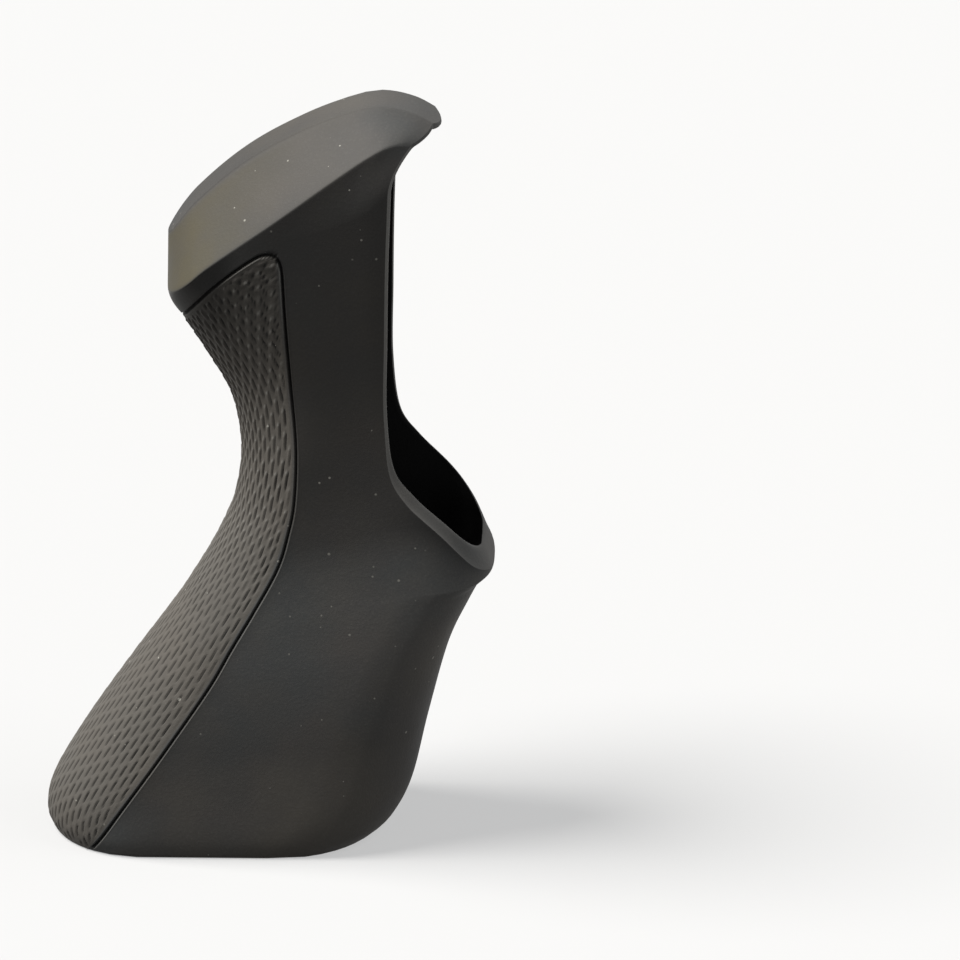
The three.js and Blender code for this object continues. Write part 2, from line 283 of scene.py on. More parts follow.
def body_point(x, v, inset):
    """Point of the skin at x in section v, inset inwards by the wall."""
    sec, start_x, end_x, end_z = row_ends(v, inset)
    palm_x, palm_z, front_x, front_z = (sec[..., k] for k in range(4))
    half, palm_round, front_round, power, pad_x, rise, close = (sec[..., k] for k in range(4, 11))

    def line(at):
        q = (at - palm_x) / (front_x - palm_x)
        return mix(palm_z, front_z, q) + rise * 6.75 * q * (1 - q) ** 2

    # The set-back of the edge starts half a section below the opening
    at_lip = np.where(inset > 0, EDGE_ROUND / 2, LIP_SLOPE)
    set_back = np.where(v >= LIP, end_z - line(end_x), -at_lip * clamp((v - LIP + 0.5) / 0.5))
    z = line(x) + set_back * clamp((x - pad_x) / (end_x - pad_x)) ** 2

    # Along the crease the flank is flat right from the pad on
    crease = smooth((v - CREASE_START) / CREASE_FADE) * (1 - smooth((v - CREASE_END) / CREASE_FADE))
    reach = palm_round * (1 + CREASE_REACH * crease) - inset
    left = rounded((x - start_x) / reach, 2.0)
    left = mix(left, np.minimum(1, left / rounded((pad_x - start_x) / reach, 2.0)), crease)
    right = rounded((close - inset - x) / (front_round - inset), power)
    return np.stack([x, -(half - inset) * left * right, z], -1)


def horn_keys(neck, inset):
    """Rows that the horn runs through: neck, lower ridge, top ridge, middle of the top."""
    first = neck[0, 0]
    last = neck[-1, 0]
    f = (neck[:, 0] - first) / (last - first)
    start = RIDGE[0, 0] + inset
    ridge_x = mix(start, RIDGE[-1, 0], f)
    ridge_end = rounded((ridge_x - start) / (RIDGE_ROUND - inset), 2.0)
    ridge_y = -(over(RIDGE_HALF, ridge_x) - inset) * ridge_end
    ridge = np.stack([ridge_x, ridge_y, over(RIDGE, ridge_x) - inset * HORN_INSET], -1)
    middle_x = mix(TOP[0, 0], TOP[-1, 0], f)
    top_x = middle_x - TIP_LENGTH * smooth((f - TIP_FROM) / TIP_SPAN)
    rise = over(TOP, middle_x + SLOPE_STEP) - over(TOP, middle_x - SLOPE_STEP)
    lean = mix(math.pi / 2, np.arctan(rise / (2 * SLOPE_STEP)), smooth(f / BLUNT_SHARE))
    top_y = -(TOP_HALF - inset * HORN_INSET) * rounded((top_x - TOP[0, 0]) / TOP_ROUND, 2.0)
    in_x = inset * np.sin(lean)
    in_z = inset * np.cos(lean)
    top = np.stack([top_x + in_x, top_y, over(TOP, top_x) - in_z], -1)
    middle = np.stack([middle_x + in_x, top_y * 0, over(TOP, middle_x) - in_z], -1)
    return [neck, ridge, top, middle]


def horn_row(keys, w, column):
    """Row of the horn, w steps above the neck, with softened ridges."""
    def along(u):
        i = min(2, int(math.floor(u)))
        f = u - i
        a, b = keys[i], keys[i + 1]
        curve = 1 - (1 - f) ** 2
        full = mix(f, curve, TIP_FULLNESS * smooth((column - TIP_FROM) / TIP_SPAN))
        fx = (mix(curve, f * f, column), full, curve)[i]
        fy = mix(f, f * f, clamp(column * 2 - 1)) if i == 0 else f
        fz = curve if i == 2 else f
        return mix(a, b, np.stack(np.broadcast_arrays(fx, fy, fz), -1))

    corner = round(w)
    if corner in (1, 2) and abs(w - corner) < CORNER_SPAN:
        a, b, d = along(corner - CORNER_SPAN), along(corner), along(corner + CORNER_SPAN)
        t = (w - corner + CORNER_SPAN) / (2 * CORNER_SPAN)
        return (1 - t) ** 2 * a + 2 * t * (1 - t) * b + t * t * d
    return along(w)


# Rows up the body, even along the pad, closer at the lip and at the neck
def pad_line(v):
    """Points up the middle of the pad, along which the dashes are spaced."""
    sec = section_at(v)
    x = mix(sec[..., 0], sec[..., 8], 0.5)
    return body_point(x, v, np.zeros_like(v))


fine_v = np.linspace(0, NECK, FINE_STEPS)
fine_p = pad_line(fine_v)
step_length = np.linalg.norm(np.diff(fine_p, axis=0), axis=1)
mid_v = (fine_v[1:] + fine_v[:-1]) / 2
period = up_the_pad(mid_v, DASH_PERIODS, (4, 4), (10, 2))
phase_at = np.concatenate([[0], np.cumsum(step_length / period)])

phases = np.arange(0, phase_at[-1], 1 / ROWS_PER_DASH)
body_v = list(np.interp(phases, phase_at, fine_v))
body_v += [LIP + step for step in LIP_STEPS]
body_v += list(np.linspace(NECK_FROM, NECK, NECK_ROWS))
body_v = np.array(sorted(body_v))

# Rows that lie too close to the one before are dropped, but never the lip or the neck
keep = [0]
for i in range(1, len(body_v)):
    special = body_v[i] in (float(LIP), float(NECK))
    if special or body_v[i] - body_v[keep[-1]] > LEAST_STEP:
        if special and keep[-1] != 0 and body_v[i] - body_v[keep[-1]] < LEAST_STEP:
            keep.pop()
        keep.append(i)
body_v = body_v[keep]
HORN_ROWS = [
    0.02, 0.05, 0.1, 0.16, 0.23, 0.31, 0.4, 0.5, 0.6, 0.7, 0.8, 0.89,
    0.94, 0.97, 1.0, 1.03, 1.06, 1.12, 1.25, 1.42, 1.6, 1.77, 1.88, 1.94,
    1.97, 2.0, 2.03, 2.06, 2.2, 2.4, 2.6, 2.8, 3.0,
]

# Columns across: dashes of the pad, the groove, then the flank
dash_base = np.array([k + step for k in range(DASH_COLUMNS) for step in DASH_STEPS])
GROOVE_COLUMNS = np.array([
    -0.6, -0.45, -0.34, -0.25, -0.16, -0.05, 0.05, 0.16, 0.25, 0.34, 0.45, 0.55, 0.8,
])
FLANK_COLUMNS = np.array([0.03, 0.08, 0.14, 0.26, 0.38, 0.5, 0.56, 0.62, 0.67, 0.72, 0.77, 0.81, 0.85,
                    0.885, 0.915, 0.94, 0.96, 0.975, 0.99, 1.0])


def column_pitch(v):
    """Distance between neighbouring columns of dashes, along the surface."""
    return up_the_pad(v, DASH_PITCHES, (3, 4), (9, 2))


def crowding(v):
    """Power by which the columns crowd towards the front, less beside the lever opening."""
    return mix(*CROWDING, smooth((v - LIP - 0.2) / 2))[:, None]


def outer_columns(v):
    """x of every column of the outer skin for rows v, and the dash column it falls on."""
    zero = np.zeros_like(v)
    sec, start_x, end_x, _ = row_ends(v, zero)
    pad_x = sec[:, 8]
    ahead = body_point(pad_x + NEAR, v, zero) - body_point(pad_x - NEAR, v, zero)
    metric = np.linalg.norm(ahead, axis=1) / (2 * NEAR)
    g = pad_x[:, None] + GROOVE_COLUMNS[None, :] / metric[:, None]
    t = np.linspace(0, 1, ARC_POINTS)[None, :] ** 2
    arc_x = start_x[:, None] + (g[:, :1] - start_x[:, None]) * t
    arc_v = np.repeat(v[:, None], t.shape[1], 1)
    arc = body_point(arc_x, arc_v, np.zeros_like(arc_v))
    steps = np.linalg.norm(np.diff(arc, axis=1), axis=2)
    length = np.concatenate([zero[:, None], np.cumsum(steps, 1)], 1)
    pitch = column_pitch(v)
    count = (length[:, -1] - PAD_END_GAP) / pitch
    share = dash_base[None, :] / DASH_COLUMNS
    column = dash_base[None, :] * (1 + (count / DASH_COLUMNS - 1)[:, None] * share ** 3)
    p = np.array([np.interp(column[i] * pitch[i], length[i], arc_x[i]) for i in range(len(v))])
    u = 1 - (1 - FLANK_COLUMNS[None, :]) ** crowding(v)
    f = g[:, -1:] + (end_x[:, None] - g[:, -1:]) * u
    beside = np.repeat(count[:, None] + 0.5, g.shape[1] + f.shape[1], 1)
    return np.concatenate([p, g, f], 1), np.concatenate([column, beside], 1)


def inner_columns(v, inset_of):
    """x of every column of the inner skin for rows v, and its place across the row."""
    t = np.array([0, 0.2, 0.4, 0.6, 0.8, 1.0])
    u = np.array([0.12, 0.28, 0.45, 0.6, 0.74, 0.86, 0.94, 1.0])
    zero = np.zeros_like(v)
    inset = np.full_like(v, WALL)
    sec, start_x, _, _ = row_ends(v, inset)
    end_x = row_ends(v, inset_of(1.0, v))[2]
    pad_x = sec[:, 8]
    p = start_x[:, None] + (pad_x - start_x)[:, None] * t[None, :] ** 2
    f = pad_x[:, None] + (end_x - pad_x)[:, None] * (1 - (1 - u[None, :]) ** crowding(v))
    where = np.concatenate([t * 0.5, 0.5 + u * 0.5])
    return np.concatenate([p, f], 1), where


def inset_at(where, v):
    """Wall behind a place across the row: the skin thins towards the opening."""
    thin = mix(OPENING_EDGE, WALL, smooth((1 - np.asarray(where)) / TAPER_SHARE))
    return np.where(v < LIP, WALL, mix(WALL, thin, smooth(v - LIP)))


xo, dash_column = outer_columns(body_v)
vo = np.repeat(body_v[:, None], xo.shape[1], 1)
outer = body_point(xo, vo, np.zeros_like(vo))
xi, where_i = inner_columns(body_v, inset_at)
vi = np.repeat(body_v[:, None], xi.shape[1], 1)
inset_i = inset_at(where_i[None, :], vi)
inner = body_point(xi, vi, inset_i)
closed_rows = body_v <= LIP
outer[closed_rows, -1, 1] = 0
inner[closed_rows, -1, 1] = 0

neck_sec = section_at(np.array([float(NECK)]))[0]


def across(row, pad_x):
    """Place of each point across a row: 0 at the palm, 0.5 at the pad's edge, 1 at the front."""
    start, end = row[0, 0], row[-1, 0]
    low = 0.5 * np.sqrt(clamp((row[:, 0] - start) / (pad_x - start)))
    high = 0.5 + 0.5 * clamp((row[:, 0] - pad_x) / (end - pad_x))
    return np.where(row[:, 0] <= pad_x, low, high)


outer_across = across(outer[-1], neck_sec[8])
inner_across = across(inner[-1], neck_sec[8])
outer_keys = horn_keys(outer[-1], np.zeros(outer.shape[1]))
inner_keys = horn_keys(inner[-1], inset_i[-1])
outer = np.concatenate([outer, np.array([horn_row(outer_keys, w, outer_across) for w in HORN_ROWS])])
inner = np.concatenate([inner, np.array([horn_row(inner_keys, w, inner_across) for w in HORN_ROWS])])
outer[:, 0, 1] = 0
inner[:, 0, 1] = 0
outer[-1, :, 1] = 0
inner[-1, :, 1] = 0

rows_n, cols_n = outer.shape[:2]
body_n = len(body_v)
row_v = np.concatenate([body_v, np.full(len(HORN_ROWS), float(NECK))])
row_w = np.concatenate([np.zeros(body_n), HORN_ROWS])

# Outward normals of the outer skin
du = np.gradient(outer, axis=1)
du[:, 0] = outer[:, 1] - outer[:, 0]
du[:, 0, 0] = 0
du[:, 0, 2] = 0
dv = np.gradient(outer, axis=0)
normal = np.cross(du, dv)
normal /= np.linalg.norm(normal, axis=2)[..., None] + TINY
normal[:, 0, 1] = 0
normal[-1, :, 1] = 0
normal /= np.linalg.norm(normal, axis=2)[..., None] + TINY

# Line of the groove in 3D: up the side of the pad, round its corner, under the horn
side_v = np.linspace(GROOVE_START, NECK - GROOVE_TURN, SIDE_POINTS)
side_x = section_at(side_v)[:, 8]
turn = np.linspace(0, 1, TURN_POINTS)
corner_v = NECK - GROOVE_TURN * (1 - turn) ** 2
corner_sec = section_at(corner_v)
corner_t = 1 - GROOVE_TURN_IN * turn * turn
corner_x = corner_sec[:, 0] + (corner_sec[:, 8] - corner_sec[:, 0]) * corner_t ** 2
top_t = np.linspace(1 - GROOVE_TURN_IN, 0, TOP_POINTS)
top_x = neck_sec[0] + (neck_sec[8] - neck_sec[0]) * top_t ** 2
line_v = np.concatenate([side_v, corner_v[1:], np.full(TOP_POINTS - 1, float(NECK))])
line_x = np.concatenate([side_x, corner_x[1:], top_x[1:]])
line = body_point(line_x, line_v, np.zeros_like(line_v))

# Distance to that line, measured only where the groove and its margins can be
near_line = np.full((rows_n, cols_n), FAR_AWAY)
pad_cols = len(dash_base)
past_groove = pad_cols + len(GROOVE_COLUMNS)
top_rows = (row_v > 11.8) & (row_w < 0.3)
mask = np.zeros((rows_n, cols_n), bool)
mask[:body_n, pad_cols - 20:past_groove + 6] = True
mask[top_rows, :past_groove + 6] = True
pts = outer[mask]
best = np.full(len(pts), FAR_AWAY)
for k in range(0, len(pts), CHUNK):
    part = pts[k:k + CHUNK]
    d = np.linalg.norm(part[:, None, :] - line[None, :, :], axis=2)
    best[k:k + CHUNK] = d.min(1)
near_line[mask] = best

# The pad lies on the palm side of the line
pad_side = np.zeros((rows_n, cols_n), bool)
palm_start = row_ends(body_v, np.zeros(body_n))[1]
x_t = np.sqrt(clamp((xo - palm_start[:, None]) / (section_at(body_v)[:, 8] - palm_start)[:, None]))
up_to_line = np.arange(cols_n)[None, :] < pad_cols + len(GROOVE_COLUMNS) // 2 + 1
into_turn = 1 - np.sqrt(clamp((NECK - body_v) / GROOVE_TURN))
limit = 1 - GROOVE_TURN_IN * into_turn * into_turn
pad_side[:body_n] = up_to_line & (x_t <= limit[:, None])

groove = 1 - smooth((near_line - GROOVE_FLOOR) / GROOVE_WALL)
margin = smooth((near_line - MARGIN) / MARGIN_FADE)
border = np.exp(-((near_line - BORDER_AWAY) / BORDER_WIDTH) ** 2)

# Dashes: slits along the pad, staggered like bricks, each beside a raised bar
column = np.concatenate([dash_column, np.repeat(dash_column[-1:], rows_n - body_n, 0)])
row_phase = np.interp(row_v, fine_v, phase_at)[:, None]
slant = up_the_pad(row_v, DASH_SLANTS, (3, 4), (8.5, 2.5))[:, None]
tall = up_the_pad(row_v, BAR_HEIGHTS, (5.5, 3), (9.5, 2))[:, None]
nearest = np.round(column)
aside = column - nearest


def uneven(k, n):
    """Small irregularity of each dash, the same every time."""
    wave = np.sin(k * 12.9898 + n * 78.233) * 43758.5453
    return wave - np.floor(wave) - 0.5


def dash(number, offset):
    """Slit, raised bar and painted highlight at the end of a dash, for points offset across it."""
    along = row_phase + slant * column + 0.5 * (number % 2)
    cell = np.floor(along)
    g = along - cell + DASH_SHIFT * uneven(number, cell)
    start = SLIT_START + SLIT_UNEVEN * uneven(cell, number)
    slit = smooth((g - start) / SLIT_RISE) * (1 - smooth((g - SLIT_END) / SLIT_FALL))
    slit = slit * np.exp(-(offset / SLIT_WIDTH) ** 2)
    side = smooth((offset + BAR_FAR) / BAR_FAR_FADE) * (1 - smooth((offset + BAR_NEAR) / BAR_NEAR_FADE))
    bar = side * smooth((g - BAR_START) / BAR_RISE) * (1 - smooth((g - BAR_END) / BAR_FALL))
    tip_highlight = side * np.exp(-((g - TIP_HIGHLIGHT_PLACE) / TIP_HIGHLIGHT_WIDTH) ** 2)
    return slit * (1 + DEPTH_UNEVEN * uneven(cell + 3, number)), bar, tip_highlight


slit_a, bar_a, tip_highlight_a = dash(nearest, aside)
slit_b, bar_b, tip_highlight_b = dash(nearest + 1, aside - 1)
inside = pad_side & (row_w[:, None] == 0)
inside[:, pad_cols:] = False
low_fade = smooth((row_phase - 0.1) / 0.35)
textured = margin * inside * low_fade
slits = np.maximum(slit_a, slit_b) * textured
bars = np.maximum(bar_a, bar_b) * textured
# Painted highlights at the dash tips, from the middle of the pad up
tip_highlights = np.maximum(tip_highlight_a, tip_highlight_b) * textured * smooth((row_v - 6) / 3)[:, None]

# Relief along the normals; the bars are lower near the palm's middle, the mouth rim is rounded
tall = tall * mix(LOW_BAR, 1, smooth(column / 3))
height = -GROOVE_DEPTH * groove + BORDER_HEIGHT * border - SLIT_DEPTH * slits + tall * bars
mouth = np.zeros((rows_n, cols_n))
mouth[:body_n] = clamp(1 - outer[:body_n, :, 2] / MOUTH_SPAN) ** 2 * MOUTH_ROUND
outer = outer + normal * (height - mouth)[..., None]
outer[:, 0, 1] = 0
outer[-1, :, 1] = 0
outer[0, :, 2] = 0
outer[:body_n][closed_rows, -1, 1] = 0


# Mesh of one half, then its mirror image, sharing the points in the plane of symmetry
verts = []
faces = []
shades = {name: [] for name in ("slit", "groove", "pad", "edge", "lining", "tone", "warm")}


def add_points(points, **values):
    """Adds points with their shades, and gives their numbers in the same layout."""
    base = len(verts)
    flat = points.reshape(-1, 3)
    verts.extend(flat.tolist())
    n = len(flat)
    for name, store in shades.items():
        value = values.get(name, 0.0)
        store.extend(np.broadcast_to(value, points.shape[:-1]).reshape(-1).tolist())
    return (base + np.arange(n)).reshape(points.shape[:-1])


def quads(a, b, c, d):
    for q in zip(a.tolist(), b.tolist(), c.tolist(), d.tolist()):
        faces.append(q)


# Painted highlights: pale lines on the rim of the opening, on the raised line beside the groove and at
# the dash tips
rim_highlight = np.zeros((rows_n, cols_n))
rim_highlight[(row_v >= LIP) & (row_w < 1), -1] = 0.5
flank_border_highlight = border * (~pad_side & (row_w[:, None] == 0)) * (1 - smooth((row_v - 8) / 3))[:, None]
pad_border_highlight = border * pad_side * smooth((row_v - 11.5) / 1.0)[:, None]
edge = np.maximum.reduce([rim_highlight, flank_border_highlight, pad_border_highlight, tip_highlights])

# Painted light and shade, as a factor on the colour: least high up on the flank, most beside the
# groove's lower half
flank_shading_by_section = np.interp(row_v, FLANK_PAINTED_SHADING[:, 0], FLANK_PAINTED_SHADING[:, 1])[:, None]
front = np.clip((np.arange(cols_n) - pad_cols - len(GROOVE_COLUMNS)) / len(FLANK_COLUMNS), 0, 1)[None, :]
low_down = (1 - smooth((row_v - 7) / 1.5))[:, None]
flank_painted_shading = flank_shading_by_section * mix(1, FRONT_PAINTED_SHADE, smooth((front - 0.2) / 0.55) * low_down)
# Painted light under the lower ridge fading towards the front, painted shade on the left of the top
# strip
under_ridge_painted_light = mix(*UNDER_RIDGE_PAINTED_LIGHT, smooth(np.arange(cols_n) / 45))[None, :]
horn_painted_shading = np.where(row_w[:, None] < 1, mix(flank_painted_shading, under_ridge_painted_light, clamp(row_w * 4)[:, None]), 1.0)
along_horn = (xo[-1] - xo[-1, 0]) / (xo[-1, -1] - xo[-1, 0])
strip_painted_shade = mix(*STRIP_PAINTED_SHADE, smooth((along_horn - 0.15) / 0.8))[None, :]
horn_painted_shading = mix(horn_painted_shading, strip_painted_shade, smooth((row_w[:, None] - 1.97) / 0.06))
pad_painted_shading = np.interp(row_v, PAD_PAINTED_SHADING[:, 0], PAD_PAINTED_SHADING[:, 1])[:, None]
tone = np.where(row_w[:, None] > 0, horn_painted_shading, np.where(pad_side, pad_painted_shading, flank_painted_shading))
on_bevel = smooth((row_w - 0.95) / 0.1) * (1 - smooth((row_w - 1.9) / 0.1))
warm = on_bevel[:, None] * (1 - smooth((along_horn - 0.05) / 0.5))[None, :]
pad = (pad_side & inside).astype(float)
o_id = add_points(outer, slit=slits, groove=groove, pad=pad, edge=edge, tone=tone, warm=warm)
i_id = add_points(inner, lining=1.0, tone=1.0)


def face_grid(ids, inward):
    a = ids[:-1, :-1].ravel()
    b = ids[:-1, 1:].ravel()
    c = ids[1:, 1:].ravel()
    d = ids[1:, :-1].ravel()
    if inward:
        quads(a, d, c, b)
    else:
        quads(a, b, c, d)


face_grid(o_id, False)
face_grid(i_id, True)

# Rounded edge of the lever opening
first = int(np.searchsorted(body_v, LIP))
nx, nz = into_opening(row_v[first:])
neck_nx, neck_nz = into_opening(np.array([float(NECK)]))
w = row_w[first:]
turn_w = np.minimum(1, w)
tip_w = np.maximum(0, w - 1) / 2
nx = np.where(w > 0, mix(mix(neck_nx[0], 0.5, turn_w), 0.95, tip_w), nx)
nz = np.where(w > 0, mix(mix(neck_nz[0], -0.86, turn_w), -0.3, tip_w), nz)
a_edge = outer[first:, -1]
c_edge = inner[first:, -1]
into = np.stack([nx, np.zeros_like(nx), nz], -1)
lip = lip_share(row_v[first:])
bend = np.log(0.5) / np.log(0.5 + 0.25 * lip)
edge_rings = []
edge_highlight_values = []
# Painted highlight on the rounded edge of the opening
rim_light = mix(0.95, 0.62 * mix(0.4, 1, smooth((row_v[first:] - LIP) / 1.2)), lip)
for step, share in zip(RING_STEPS, RING_LIGHT):
    crest = np.sin(math.pi * step ** bend)
    ring = a_edge + (c_edge - a_edge) * step + into * (EDGE_ROUND * CREST_REACH * crest)[:, None]
    ring[0, 1] = 0
    ring[-1, 1] = 0
    edge_rings.append(ring)
    edge_highlight_values.append(np.where(row_w[first:] < 1, rim_light, 0.2) * share)
ring_ids = [add_points(r, edge=value, tone=1.0) for r, value in zip(edge_rings, edge_highlight_values)]
e_id = [o_id[first:, -1]] + ring_ids + [i_id[first:, -1]]
for a, b in zip(e_id[:-1], e_id[1:]):
    quads(a[:-1], b[:-1], b[1:], a[1:])


def stitch(a, b):
    """Triangles between two rows of points with different counts."""
    pa = np.array([verts[k] for k in a])
    pb = np.array([verts[k] for k in b])
    la = np.concatenate([[0], np.cumsum(np.linalg.norm(np.diff(pa, axis=0), axis=1))])
    lb = np.concatenate([[0], np.cumsum(np.linalg.norm(np.diff(pb, axis=0), axis=1))])
    la = la / la[-1]
    lb = lb / lb[-1]
    i = j = 0
    while i < len(a) - 1 or j < len(b) - 1:
        if j == len(b) - 1 or (i < len(a) - 1 and la[i + 1] <= lb[j + 1]):
            faces.append((a[i], b[j], a[i + 1]))
            i += 1
        else:
            faces.append((a[i], b[j], b[j + 1]))
            j += 1


stitch(o_id[0].tolist(), i_id[0].tolist())

verts = np.array(verts)
half_n = len(verts)
in_plane = np.abs(verts[:, 1]) < 1e-9
verts[in_plane, 1] = 0
far = verts * np.array([1, -1, 1])
far_index = np.where(in_plane, np.arange(half_n), half_n + np.cumsum(~in_plane) - 1)
all_verts = np.concatenate([verts, far[~in_plane]])
spread = {name: np.concatenate([np.array(x), np.array(x)[~in_plane]]) for name, x in shades.items()}
far_list = far_index.tolist()
faces_far = [tuple(far_list[k] for k in reversed(q)) for q in faces]


def clean(q):
    """The face without corners that coincide, as at the plane of symmetry."""
    out = []
    for k in q:
        if k not in out:
            out.append(k)
    return tuple(out)


all_faces = [q for q in map(clean, faces + faces_far) if len(q) > 2]
mesh = bpy.data.meshes.new("hood_skin")
mesh.from_pydata((all_verts * MM).tolist(), [], all_faces)
for name, values in spread.items():
    layer = mesh.attributes.new(name, "FLOAT", "POINT")
    layer.data.foreach_set("value", values.astype(np.float32))
mesh.polygons.foreach_set("use_smooth", [True] * len(mesh.polygons))
mesh.update()
mesh.validate()
hood = bpy.data.objects.new("hood_skin", mesh)
bpy.context.scene.collection.objects.link(hood)
tris = sum(len(p.vertices) - 2 for p in mesh.polygons)
print("hood_skin triangles", tris)


# Colours of the rubber: from darker to paler, worn patches, grain, a warm film, dust and painted light
# on the pad, painted highlights on edges, painted shade in slits, groove and lining, and dust
RUBBER = (
    (0.36, (0.036, 0.037, 0.037)),
    (0.5, (0.041, 0.039, 0.037)),
    (0.64, (0.049, 0.045, 0.040)),
)
WORN = (0.060, 0.057, 0.050)
GRAIN = (0.075, 0.072, 0.066)
# Dust and painted light: the pad paler than the flank
PALM_DUST_AND_PAINTED_LIGHT = (0.072, 0.065, 0.056)
WARM_FILM = (0.053, 0.046, 0.027)
# Painted highlight on edges
EDGE_HIGHLIGHT = (0.16, 0.155, 0.145)
# Painted shade in the slits, the groove and the inner lining
SLIT_PAINTED_SHADE = (0.004, 0.004, 0.004)
GROOVE_PAINTED_SHADE = (0.002, 0.002, 0.002)
LINING_PAINTED_SHADE = (0.003, 0.003, 0.003)
DUST = (0.30, 0.29, 0.26)


def new_material(name):
    mat = bpy.data.materials.new(name)
    mat.use_nodes = True
    nodes = mat.node_tree.nodes
    nodes.clear()
    return mat, nodes, mat.node_tree.links


def rubber():
    mat, nodes, links = new_material("hood_rubber")

    def add(kind, **values):
        node = nodes.new(kind)
        for key, value in values.items():
            setattr(node, key, value)
        return node

    def maths(op, a, b=None, clamped=False):
        node = add("ShaderNodeMath", operation=op, use_clamp=clamped)
        for socket, value in zip(node.inputs, (a, b)):
            if value is None:
                continue
            if isinstance(value, (int, float)):
                socket.default_value = value
            else:
                links.new(value, socket)
        return node.outputs[0]

    def noise(scale, detail=3.0, rough=0.5):
        node = add("ShaderNodeTexNoise")
        links.new(coord.outputs["Object"], node.inputs["Vector"])
        node.inputs["Scale"].default_value = scale
        node.inputs["Detail"].default_value = detail
        node.inputs["Roughness"].default_value = rough
        return node.outputs["Fac"]

    def ramp(value, stops):
        node = add("ShaderNodeValToRGB")
        links.new(value, node.inputs["Fac"])
        node.color_ramp.elements[0].position = stops[0][0]
        node.color_ramp.elements[0].color = (*stops[0][1], 1)
        node.color_ramp.elements[1].position = stops[-1][0]
        node.color_ramp.elements[1].color = (*stops[-1][1], 1)
        for position, colour in stops[1:-1]:
            element = node.color_ramp.elements.new(position)
            element.color = (*colour, 1)
        return node.outputs["Color"]

    def blend(fac, a, b):
        node = add("ShaderNodeMix", data_type="RGBA", clamp_factor=True)
        for socket, value in ((node.inputs[0], fac), (node.inputs[6], a), (node.inputs[7], b)):
            if isinstance(value, (int, float)):
                socket.default_value = value
            elif isinstance(value, tuple):
                socket.default_value = (*value, 1)
            else:
                links.new(value, socket)
        return node.outputs[2]

    def specks(scale, radius, share, seed):
        shift = add("ShaderNodeVectorMath", operation="ADD")
        links.new(coord.outputs["Object"], shift.inputs[0])
        shift.inputs[1].default_value = (seed, seed * 0.37, seed * 0.71)
        cell = add("ShaderNodeTexVoronoi", feature="F1")
        links.new(shift.outputs[0], cell.inputs["Vector"])
        cell.inputs["Scale"].default_value = scale
        chance = add("ShaderNodeSeparateColor")
        links.new(cell.outputs["Color"], chance.inputs[0])
        present = maths("LESS_THAN", chance.outputs[0], share)
        size = maths("MULTIPLY", chance.outputs[1], radius)
        whole = maths("ADD", size, radius * 0.3)
        reach = maths("SUBTRACT", 1.0, maths("DIVIDE", cell.outputs["Distance"], whole), True)
        soft = maths("MULTIPLY", reach, 2.2, True)
        return maths("MULTIPLY", soft, present)

    coord = add("ShaderNodeTexCoord")
    slit_value, groove_value, pad_value, edge_highlight_value, lining_value, painted_shading_value, warm_value = (
        add("ShaderNodeAttribute", attribute_name=name).outputs["Fac"]
        for name in ("slit", "groove", "pad", "edge", "lining", "tone", "warm")
    )

    broad = noise(30, 3.0, 0.55)
    patches = noise(110, 4.0, 0.6)
    grain = noise(2400, 2.0, 0.6)
    colour = ramp(broad, RUBBER)
    colour = blend(maths("MULTIPLY", maths("SUBTRACT", patches, 0.45, True), 0.9), colour, WORN)
    colour = blend(maths("MULTIPLY", maths("SUBTRACT", grain, 0.5, True), 0.8), colour, GRAIN)
    # Dust and painted light: the pad paler than the flank
    colour = blend(maths("MULTIPLY", pad_value, 0.6), colour, PALM_DUST_AND_PAINTED_LIGHT)
    colour = blend(maths("MULTIPLY", warm_value, maths("ADD", patches, 0.1, True)), colour, WARM_FILM)
    # Painted light and shade: the colour is scaled by the tone attribute
    shaded_colour = add("ShaderNodeVectorMath", operation="SCALE")
    links.new(colour, shaded_colour.inputs[0])
    links.new(painted_shading_value, shaded_colour.inputs["Scale"])
    colour = shaded_colour.outputs[0]
    # Painted highlights on the rim, beside the groove and at the dash tips
    colour = blend(maths("MULTIPLY", edge_highlight_value, 0.55, True), colour, EDGE_HIGHLIGHT)
    # Painted shade: slits and groove darkened towards black
    colour = blend(maths("MULTIPLY", slit_value, 0.95, True), colour, SLIT_PAINTED_SHADE)
    colour = blend(maths("MULTIPLY", groove_value, 0.96, True), colour, GROOVE_PAINTED_SHADE)
    # Painted shade: the inner skin darkened towards black
    colour = blend(lining_value, colour, LINING_PAINTED_SHADE)
    dust = maths("MAXIMUM", specks(260, 0.065, 0.36, 0.31), specks(620, 0.13, 0.15, 0.83))
    covered = maths("MAXIMUM", groove_value, lining_value)
    dust = maths("MULTIPLY", dust, maths("SUBTRACT", 1.0, covered, True))
    colour = blend(maths("MULTIPLY", dust, 0.6), colour, DUST)

    shader = add("ShaderNodeBsdfPrincipled")
    links.new(colour, shader.inputs["Base Color"])
    rough = maths("ADD", 0.58, maths("MULTIPLY", patches, 0.16))
    rough = maths("ADD", rough, maths("MULTIPLY", maths("ADD", covered, dust, True), 0.25), True)
    links.new(rough, shader.inputs["Roughness"])
    shader.inputs["IOR"].default_value = 1.5
    shader.inputs["Specular IOR Level"].default_value = 0.13

    pebble = noise(900, 2.0, 0.5)
    height = maths("ADD", maths("MULTIPLY", grain, 0.6), maths("MULTIPLY", pebble, 0.4))
    bump = add("ShaderNodeBump")
    bump.inputs["Strength"].default_value = 0.55
    bump.inputs["Distance"].default_value = 0.00008
    links.new(height, bump.inputs["Height"])
    links.new(bump.outputs["Normal"], shader.inputs["Normal"])
    out = add("ShaderNodeOutputMaterial")
    links.new(shader.outputs[0], out.inputs["Surface"])
    return mat


